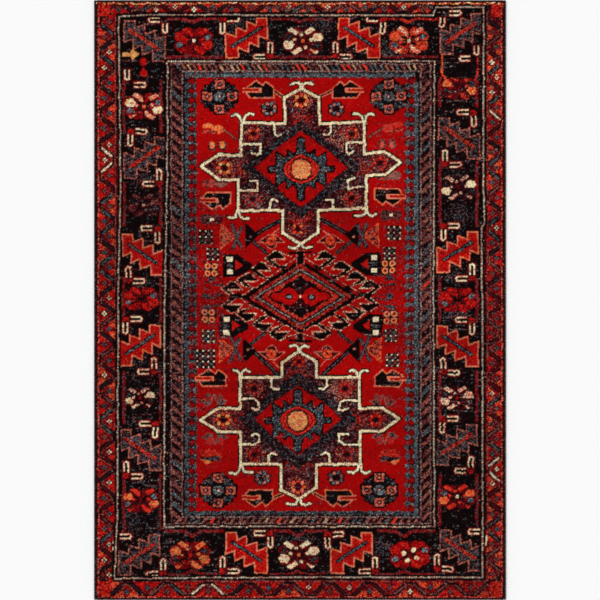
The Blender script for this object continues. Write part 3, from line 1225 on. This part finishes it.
def tuft_shape(nodes, pitch_x, pitch_y):
    """Height of a tuft over its own knot, leaning a little: 1 near its middle and 0 between the knots."""
    place = nodes.place((1000 / pitch_x, 1000 / pitch_y, 0.001))
    lean = nodes.add("ShaderNodeTexNoise")
    lean.inputs["Scale"].default_value = 0.8
    nodes.join(place, lean.inputs["Vector"])
    leaning = nodes.add("ShaderNodeVectorMath", operation="MULTIPLY_ADD")
    leaning.inputs[1].default_value = (1.1, 1.1, 0)
    nodes.join(lean.outputs["Color"], leaning.inputs[0])
    nodes.join(place, leaning.inputs[2])
    parts = nodes.add("ShaderNodeSeparateXYZ")
    nodes.join(leaning.outputs["Vector"], parts.inputs["Vector"])
    across = nodes.math("ABSOLUTE", nodes.math("SINE", nodes.math("MULTIPLY", parts.outputs["X"], math.pi)))
    along = nodes.math("ABSOLUTE", nodes.math("SINE", nodes.math("MULTIPLY", parts.outputs["Y"], math.pi)))
    return nodes.math("POWER", nodes.math("MULTIPLY", across, along), 0.5)


def cut_pile():
    """Cut wool-like pile: fibre ends a fraction of a millimetre wide, in tufts, with soft heather."""
    nodes = Nodes("cut_pile")
    tuft = tuft_shape(nodes, 2 * HALF_WIDTH / COLS, 2 * HALF_LENGTH / ROWS)
    fibre = nodes.noise(nodes.place((1, 1, 0.3)), scale=1400, detail=3.0, roughness=0.6)
    heather = nodes.noise(nodes.place((1, 1, 0.3)), scale=190, detail=2.0, roughness=0.55)
    light = nodes.product(
        nodes.spread(fibre, 0.25, 0.75, 0.74, 1.24), nodes.spread(tuft, 0, 1, 0.82, 1.05),
        nodes.spread(heather, 0.3, 0.7, 0.92, 1.08))
    nodes.shaded(nodes.yarn_colour(), light)
    height = nodes.math("MULTIPLY_ADD", fibre, 0.5, tuft)
    nodes.relief(height, distance=0.0011, strength=0.55)
    return nodes.finish(roughness=0.95, sheen=0.03, sheen_roughness=0.5, specular=0.03)


def wrapped_yarn():
    """Overcast edge: twisted yarn wound closely round the edge."""
    nodes = Nodes("serging_yarn")
    twist = nodes.noise(nodes.place((1, 1, 1), turn=0.6), scale=1500, detail=3.0, roughness=0.6)
    fuzz = nodes.noise(nodes.place((1, 1, 1)), scale=320, detail=2.0, roughness=0.5)
    light = nodes.product(nodes.spread(twist, 0.25, 0.75, 0.7, 1.3), nodes.spread(fuzz, 0.3, 0.7, 0.85, 1.15))
    nodes.shaded(nodes.yarn_colour(), light)
    nodes.relief(twist, distance=0.0006, strength=0.5)
    return nodes.finish(roughness=0.85, sheen=0.2, sheen_roughness=0.4, specular=0.25)


def ground_yarn(name, along_x):
    """Jute-like ground yarn: fibres drawn out along the yarn, with slubs and a few dark bits."""
    nodes = Nodes(name)
    stretch = (90, 900, 900) if along_x else (900, 90, 900)
    fibre = nodes.noise(nodes.place(stretch), scale=1.0, detail=3.0, roughness=0.6)
    slub = nodes.noise(nodes.place((1, 1, 1)), scale=60, detail=2.0, roughness=0.5)
    light = nodes.product(nodes.spread(fibre, 0.25, 0.75, 0.72, 1.2), nodes.spread(slub, 0.3, 0.7, 0.9, 1.1))
    nodes.shaded(nodes.yarn_colour(), light)
    nodes.relief(fibre, distance=0.0004, strength=0.5)
    return nodes.finish(roughness=0.9, sheen=0.08, sheen_roughness=0.5, specular=0.2)


def latex_coat():
    """Thin latex over the back of the weave: the weave shows through, with a dull shine."""
    nodes = Nodes("latex")
    weave = tuft_shape(nodes, 2 * HALF_WIDTH / COLS, 2 * HALF_LENGTH / ROWS)
    film = nodes.noise(nodes.place((1, 1, 1)), scale=45, detail=3.0, roughness=0.55)
    grain = nodes.noise(nodes.place((300, 1200, 1)), scale=1.0, detail=3.0, roughness=0.6)
    light = nodes.product(
        nodes.spread(weave, 0, 1, 0.74, 1.08), nodes.spread(film, 0.3, 0.7, 0.92, 1.06),
        nodes.spread(grain, 0.25, 0.75, 0.86, 1.12))
    nodes.shaded(nodes.yarn_colour(), light)
    nodes.relief(nodes.math("MULTIPLY_ADD", grain, 0.4, weave), distance=0.0008, strength=0.6)
    nodes.join(nodes.spread(film, 0.3, 0.7, 0.45, 0.62), nodes.shader.inputs["Roughness"])
    return nodes.finish(roughness=0.55, specular=0.4)


# ------------------------------------------------------------------ meshes
CREASE_ANGLE = math.radians(62)


def make_piece(name, points, faces, colours, material):
    """A smooth mesh object with creases, and a yarn colour for each face or each face's corners."""
    mesh = bpy.data.meshes.new(name)
    mesh.from_pydata(points, [], faces)
    if colours.ndim == 2:
        corner_counts = np.empty(len(mesh.polygons), np.int32)
        mesh.polygons.foreach_get("loop_total", corner_counts)
        colours = np.repeat(colours, corner_counts, axis=0)
    paint = mesh.attributes.new("yarn_colour", "FLOAT_VECTOR", "CORNER")
    paint.data.foreach_set("vector", colours.astype(np.float32).ravel())
    mesh.polygons.foreach_set("use_smooth", np.ones(len(faces), bool))
    mesh.set_sharp_from_angle(angle=CREASE_ANGLE)
    mesh.materials.append(material)
    piece = bpy.data.objects.new(name, mesh)
    bpy.context.scene.collection.objects.link(piece)
    return piece


def stands_for(piece, node):
    """A piece that takes the place of one CAD node on the rug's only body."""
    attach(piece, "root")
    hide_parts(node)
    return piece


# share of a knot's colour that it takes from its neighbours, at each corner
MINGLING = 0.36
# how dark the side walls of the pile are beside its top
WALL_SHADE = 0.6


def quilt(mask, x_edges, y_edges, surface, rim, colours, facing_up):
    """One quad for each knot of the mask, and walls from its outline to the level of the rim."""
    width = len(x_edges)
    rows, cols = np.nonzero(mask)
    corner = rows * width + cols
    tiles = np.stack([corner, corner + 1, corner + 1 + width, corner + width], axis=1)
    used, tile_faces = np.unique(tiles, return_inverse=True)
    tile_faces = tile_faces.reshape(tiles.shape)
    r, c = np.divmod(used, width)
    points = np.stack([x_edges[c], y_edges[r], surface[r, c]], axis=1)
    framed = np.pad(mask, 1)
    neighbours = (framed[:-2, 1:-1], framed[1:-1, 2:], framed[2:, 1:-1], framed[1:-1, :-2])
    starts, ends, owners = [], [], []
    for side, neighbour in enumerate(neighbours):
        is_open = ~neighbour[rows, cols]
        starts.append(tile_faces[is_open, side])
        ends.append(tile_faces[is_open, (side + 1) % 4])
        owners.append(np.nonzero(is_open)[0])
    starts, ends, owners = map(np.concatenate, (starts, ends, owners))
    foot_of, edge_places = np.unique(np.concatenate([starts, ends]), return_inverse=True)
    feet = points[foot_of].copy()
    feet[:, 2] = rim
    start_feet, end_feet = edge_places.reshape(2, -1) + len(points)
    walls = np.stack([ends, starts, start_feet, end_feet], axis=1)
    faces = np.concatenate([tile_faces, walls])
    # fibre ends mingle, so each knot's colour runs into its neighbours' at its corners
    own = colours[rows, cols]
    ringed = np.pad(colours, ((1, 1), (1, 1), (0, 0)), "edge")
    shared = (ringed[:-1, :-1] + ringed[1:, :-1] + ringed[:-1, 1:] + ringed[1:, 1:]) / 4
    mingled = (1 - MINGLING) * own[:, None] + MINGLING * shared.reshape(-1, 3)[tiles]
    paint = np.concatenate([mingled, np.repeat(WALL_SHADE * own[owners][:, None], 4, axis=1)])
    if not facing_up:
        faces, paint = faces[:, ::-1], paint[:, ::-1]
    return np.concatenate([points, feet]), faces, paint


def tube_grid(rings, ring_size):
    """Quads between the rings of points of a tube, and a cap at each end."""
    ring = np.arange(rings - 1)[:, None] * ring_size
    spot = np.arange(ring_size)[None, :]
    after = (spot + 1) % ring_size
    quads = np.stack([ring + spot, ring + ring_size + spot, ring + ring_size + after, ring + after], axis=-1)
    faces = quads.reshape(-1, 4).tolist()
    faces.append(list(range(ring_size)))
    faces.append([(rings - 1) * ring_size + n for n in reversed(range(ring_size))])
    return faces


def edge_tube(node, pitch, steps_per_pitch, ring_size, section, end_gap=0.0):
    """A straight tube through a node's box whose section turns with the distance along it."""
    low, high = (np.array(corner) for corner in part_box(node))
    along = 0 if high[0] - low[0] > high[1] - low[1] else 1
    middle, half = (low + high) / 2, (high - low) / 2
    half[along] -= end_gap
    wraps = round(2 * half[along] / pitch)
    rings = wraps * steps_per_pitch + 1
    travel = np.linspace(0, 1, rings)[:, None]
    turn = np.linspace(0, 2 * math.pi, ring_size, endpoint=False)[None, :]
    out, up = section(turn, travel * wraps)
    # the last few millimetres at each end close in to a blunt tip
    from_end = np.minimum(travel, 1 - travel) * 2 * half[along]
    tip = np.sqrt(1 - (1 - np.clip(from_end / half[2] + 0.02, 0, 1)) ** 2)
    out, up = out * tip, up * tip
    points = np.empty((rings, ring_size, 3))
    points[..., along] = middle[along] + half[along] * (2 * travel - 1)
    points[..., 1 - along] = middle[1 - along] + half[1 - along] * out * (1 if along else -1)
    points[..., 2] = middle[2] + half[2] * up
    return points.reshape(-1, 3), tube_grid(rings, ring_size), rings, wraps


def overcast_section(turn, wrap):
    """Squarish section of the overcast edge, with a groove between the helical wraps."""
    groove = 1 - np.abs(np.sin(math.pi * (wrap - turn / (2 * math.pi))))
    size = 1 - 0.15 * groove ** 1.5
    out = np.sign(np.cos(turn)) * np.abs(np.cos(turn)) ** 0.7
    up = np.sign(np.sin(turn)) * np.abs(np.sin(turn)) ** 0.7
    return size * out, size * up


def cord_section(turn, lay):
    """Section of a three-ply cord."""
    ply = np.abs(np.cos(1.5 * (turn - 2 * math.pi * lay)))
    size = 0.80 + 0.20 * ply
    return size * np.cos(turn), size * np.sin(turn)


# ------------------------------------------------------------------ pieces
ZONE_BANDS = (
    ("outer_minor_border", "minor_border_pile"),
    ("outer_guard", "guard_pile"),
    ("main_border", "main_border_pile"),
    ("inner_guard", "guard_pile"),
    ("inner_minor_border", "minor_border_pile"),
    ("reciprocal_border", "reciprocal_border_pile"),
)
SIDES = (LEFT, RIGHT, TOP, BOTTOM)


def band_zones(x, y):
    """The knots of each band's four mitred sides, from the boxes of their nodes."""
    zones = []
    for band, slot in ZONE_BANDS:
        box = {side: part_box(f"{band}_{side}") for side in SIDES}
        outer = (box[LEFT][0][0], box[RIGHT][1][0], box[TOP][1][1], box[BOTTOM][0][1])
        inner = (box[LEFT][1][0], box[RIGHT][0][0], box[TOP][0][1], box[BOTTOM][1][1])
        depth = np.stack([
            (place - start) / (stop - start) for place, start, stop in zip((x, x, y, y), outer, inner)
        ])
        nearest = depth.argmin(axis=0)
        in_band = (depth.min(axis=0) >= 0) & (depth.min(axis=0) < 1)
        for index, side in enumerate(SIDES):
            zones.append((f"{band}_{side}", slot, in_band & (nearest == index)))
    return zones


def medallion_edge(center, tip):
    """Stepped outline of a medallion's zone of pile."""
    quarter = [(0, tip), (67, 262), (67, 176), (242, 176), (242, 60), (318, 60), (388, 0)]
    return placed(mirrored(quarter), center)


def pile_zones():
    """Node, material slot and knots of each zone of the pile."""
    x, y = np.meshgrid(knot_places(COLS, HALF_WIDTH), knot_places(ROWS, HALF_LENGTH))
    zones = band_zones(x / 1000, y / 1000)
    field_knots = np.ones(x.shape, bool)
    for _, _, knots in zones:
        field_knots &= ~knots
    lozenge = [(307, 14), (97, 179), (-93, 179), (-303, 14), (-93, -151), (97, -151)]
    for node, slot, outline in (
        ("top_medallion_pile", "medallion_pile", medallion_edge((2, 518), 312)),
        ("bottom_medallion_pile", "medallion_pile", medallion_edge((-4, -482), 291)),
        ("center_lozenge_pile", "lozenge_pile", lozenge),
    ):
        knots = field_knots & inside_outline(x, y, outline)
        zones.append((node, slot, knots))
        field_knots = field_knots & ~knots
    zones.append(("field_pile", "field_pile", field_knots))
    return zones


# unevenness of the pile's top, in metres: from tuft to tuft, over several tufts, and the most that it
# rises over or dips under its mean height
TUFT_UNEVENNESS, SLOW_UNEVENNESS = 0.00028, 0.00025
PILE_ROOM, DEEPEST_DIP = 0.0009, 0.0010


def make_pile(colours):
    """One piece of pile for each zone, on one uneven surface that runs on from zone to zone, in metres."""
    rng = np.random.default_rng(31)
    low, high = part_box("field_pile")
    x_edges = np.linspace(-HALF_WIDTH, HALF_WIDTH, COLS + 1) / 1000
    y_edges = np.linspace(-HALF_LENGTH, HALF_LENGTH, ROWS + 1) / 1000
    shape = (ROWS + 1, COLS + 1)
    uneven = TUFT_UNEVENNESS * rng.normal(0, 1, shape) + SLOW_UNEVENNESS * smooth_noise(rng, shape, 9, 14)
    surface = high[2] - PILE_ROOM + np.clip(uneven, -DEEPEST_DIP, PILE_ROOM)
    material = cut_pile()
    pieces = []
    for node, slot, knots in pile_zones():
        points, faces, paint = quilt(knots, x_edges, y_edges, surface, low[2], colours, True)
        piece = make_piece(f"{node}_tufts", points, faces, paint, material)
        pieces.append(stands_for(piece, node))
    return pieces


# how much of the back's colour is its jute's, and the least and the spread of its film's height in metres
JUTE_SHARE = 0.62
FILM_GAP, FILM_UNEVENNESS = 0.00008, 0.00022


def make_back(colours):
    """Latexed back: the ground weave with the pile's colours showing through, four knots to a tile."""
    rng = np.random.default_rng(47)
    low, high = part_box("latex_back_coat")
    rows, cols = ROWS // 2, COLS // 2
    seen = colours[:2 * rows, :2 * cols].reshape(rows, 2, cols, 2, 3).mean(axis=(1, 3))
    jute = linear((0.62, 0.53, 0.41))
    mixed = JUTE_SHARE * jute + (1 - JUTE_SHARE) * seen
    shape = (rows + 1, cols + 1)
    surface = low[2] + FILM_GAP + FILM_UNEVENNESS * rng.uniform(0, 1, shape)
    x_edges = np.linspace(low[0], high[0], cols + 1)
    y_edges = np.linspace(low[1], high[1], rows + 1)
    whole = np.ones((rows, cols), bool)
    points, faces, paint = quilt(whole, x_edges, y_edges, surface, high[2], mixed, False)
    piece = make_piece("latex_coated_back", points, faces, paint, latex_coat())
    return stands_for(piece, "latex_back_coat")


# distance between the yarns of the ground weave in metres, points across and along a rib, and shades
YARN_PITCH = 0.0032
STEPS_PER_RIB, POINTS_PER_RIB = 4, 9
JUTE, COTTON, DEAD_PILE = (0.60, 0.50, 0.37), (0.72, 0.67, 0.58), (0.30, 0.06, 0.06)


def ribbed_layer(node, along_x, pitch, shade, seed):
    """One layer of the ground weave: yarns side by side, each a rounded rib above and below."""
    rng = np.random.default_rng(seed)
    low, high = (np.array(corner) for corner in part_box(node))
    across = 1 if along_x else 0
    ribs = round((high[across] - low[across]) / pitch)
    steps, lengths = STEPS_PER_RIB * ribs + 1, POINTS_PER_RIB
    place = np.linspace(0, 1, steps)
    swell = np.abs(np.sin(math.pi * ribs * place)) ** 0.6
    half = (high[2] - low[2]) / 2 * (0.45 + 0.55 * swell)
    middle = (high[2] + low[2]) / 2
    span = np.linspace(0, 1, lengths)
    points = np.empty((2, steps, lengths, 3))
    points[..., across] = (low[across] + (high[across] - low[across]) * place)[None, :, None]
    points[..., 1 - across] = (low[1 - across] + (high[1 - across] - low[1 - across]) * span)[None, None, :]
    points[0, ..., 2] = (middle + half)[:, None]
    points[1, ..., 2] = (middle - half)[:, None]
    start = (np.arange(steps - 1)[:, None] * lengths + np.arange(lengths - 1)[None, :]).ravel()
    upper = np.stack([start, start + 1, start + 1 + lengths, start + lengths], axis=1)
    lower = upper[:, ::-1] + steps * lengths
    rim = np.concatenate([
        np.arange(lengths), (np.arange(1, steps) * lengths) + lengths - 1,
        (steps - 1) * lengths + np.arange(lengths - 2, -1, -1), np.arange(steps - 2, 0, -1) * lengths,
    ])
    after = np.roll(rim, -1)
    rim_faces = np.stack([after, rim, rim + steps * lengths, after + steps * lengths], axis=1)
    faces = np.concatenate([upper, lower, rim_faces])
    if not along_x:
        faces = faces[:, ::-1]
    tone = rng.normal(1, 0.10, ribs)[np.minimum(start // lengths // STEPS_PER_RIB, ribs - 1)]
    tones = np.concatenate([tone, tone, np.full(len(rim_faces), 0.9)])
    paint = tones[:, None] * linear(shade)[None, :]
    fibre = ground_yarn(f"{node}_fibre", along_x)
    piece = make_piece(f"{node}_yarns", points.reshape(-1, 3), faces, paint, fibre)
    return stands_for(piece, node)


# one wrap of the overcast edge and one turn of the cord inside it: length along the edge in metres,
# rings of points in that length, and points in each ring; and how far the cord stops short of each end
WRAP_PITCH, WRAP_RINGS, WRAP_POINTS = 0.0031, 4, 14
CORD_LAY, CORD_RINGS, CORD_POINTS = 0.012, 6, 12
CORD_END_GAP = 0.005


def make_overcast_edges():
    """Dark yarn wound over the four edges, with a twisted cord inside each."""
    rng = np.random.default_rng(59)
    wrap_material = wrapped_yarn()
    cord_material = ground_yarn("edge_cord_fibre", False)
    dark, deep, pale = linear([(0.17, 0.035, 0.045), (0.06, 0.02, 0.03), (0.42, 0.30, 0.25)])
    pieces = []
    for side in SIDES:
        node = f"{side}_edge_serging"
        points, faces, rings, wraps = edge_tube(node, WRAP_PITCH, WRAP_RINGS, WRAP_POINTS, overcast_section)
        wrap = np.minimum(np.repeat(np.arange(rings - 1), WRAP_POINTS) // WRAP_RINGS, wraps - 1)
        blend = rng.uniform(0, 1, wraps)[:, None]
        shade = dark * blend + deep * (1 - blend)
        stray = rng.uniform(0, 1, wraps) < 0.10
        shade[stray] = 0.6 * shade[stray] + 0.4 * pale
        paint = np.concatenate([shade[wrap], shade[[0, -1]]])
        piece = make_piece(f"{node}_wraps", points, faces, paint, wrap_material)
        pieces.append(stands_for(piece, node))
        node = f"{side}_edge_cord"
        points, faces, _, _ = edge_tube(node, CORD_LAY, CORD_RINGS, CORD_POINTS, cord_section, CORD_END_GAP)
        paint = np.tile(linear((0.66, 0.60, 0.50)), (len(faces), 1))
        piece = make_piece(f"{node}_plies", points, faces, paint, cord_material)
        pieces.append(stands_for(piece, node))
    return pieces


# ------------------------------------------------------------------ studio
def make_floor():
    """Plain pale studio floor."""
    mesh = bpy.data.meshes.new("floor")
    reach = 30.0
    corners = [(-reach, -reach, 0), (reach, -reach, 0), (reach, reach, 0), (-reach, reach, 0)]
    mesh.from_pydata(corners, [], [(0, 1, 2, 3)])
    floor = bpy.data.objects.new("floor", mesh)
    bpy.context.scene.collection.objects.link(floor)
    nodes = Nodes("floor_paint")
    nodes.shader.inputs["Base Color"].default_value = (0.945, 0.945, 0.945, 1)
    mesh.materials.append(nodes.finish(roughness=0.95, specular=0.1))


def make_light():
    """Even white surroundings, and one large soft lamp from the upper left."""
    world = bpy.data.worlds.new("studio")
    bpy.context.scene.world = world
    world.use_nodes = True
    surroundings = world.node_tree.nodes["Background"]
    surroundings.inputs["Color"].default_value = (1, 1, 1, 1)
    surroundings.inputs["Strength"].default_value = 0.72
    lamp_data = bpy.data.lights.new("soft_lamp", "SUN")
    lamp_data.energy = 1.25
    lamp_data.angle = math.radians(25)
    lamp = bpy.data.objects.new("soft_lamp", lamp_data)
    lamp.rotation_euler = (math.radians(-28), math.radians(-34), 0)
    bpy.context.scene.collection.objects.link(lamp)


def make_camera():
    """Straight down on the rug's middle through a long lens, its length filling the frame."""
    distance = 14.0
    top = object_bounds()[1][2]
    length = cad_box[1][1] - cad_box[0][1]
    camera_data = bpy.data.cameras.new("camera")
    camera_data.sensor_width = 36.0
    camera_data.lens = camera_data.sensor_width * distance / length
    camera_data.clip_end = 200.0
    camera = bpy.data.objects.new("camera", camera_data)
    camera.location = (0, 0, top + distance)
    bpy.context.scene.collection.objects.link(camera)
    bpy.context.scene.camera = camera


make_camera()
make_light()
make_floor()
bpy.context.scene.view_settings.view_transform = "Standard"

knot_shades = linear(knot_colours(weave_chart()))
pieces = make_pile(knot_shades)
pieces.append(make_back(knot_shades))
pieces.append(ribbed_layer("lower_weft", True, YARN_PITCH, JUTE, 61))
pieces.append(ribbed_layer("stuffer_warp", False, YARN_PITCH, COTTON, 67))
pieces.append(ribbed_layer("dead_pile_yarn", False, YARN_PITCH / 2, DEAD_PILE, 71))
pieces += make_overcast_edges()
ground = ribbed_layer("upper_weft", True, YARN_PITCH, JUTE, 73)
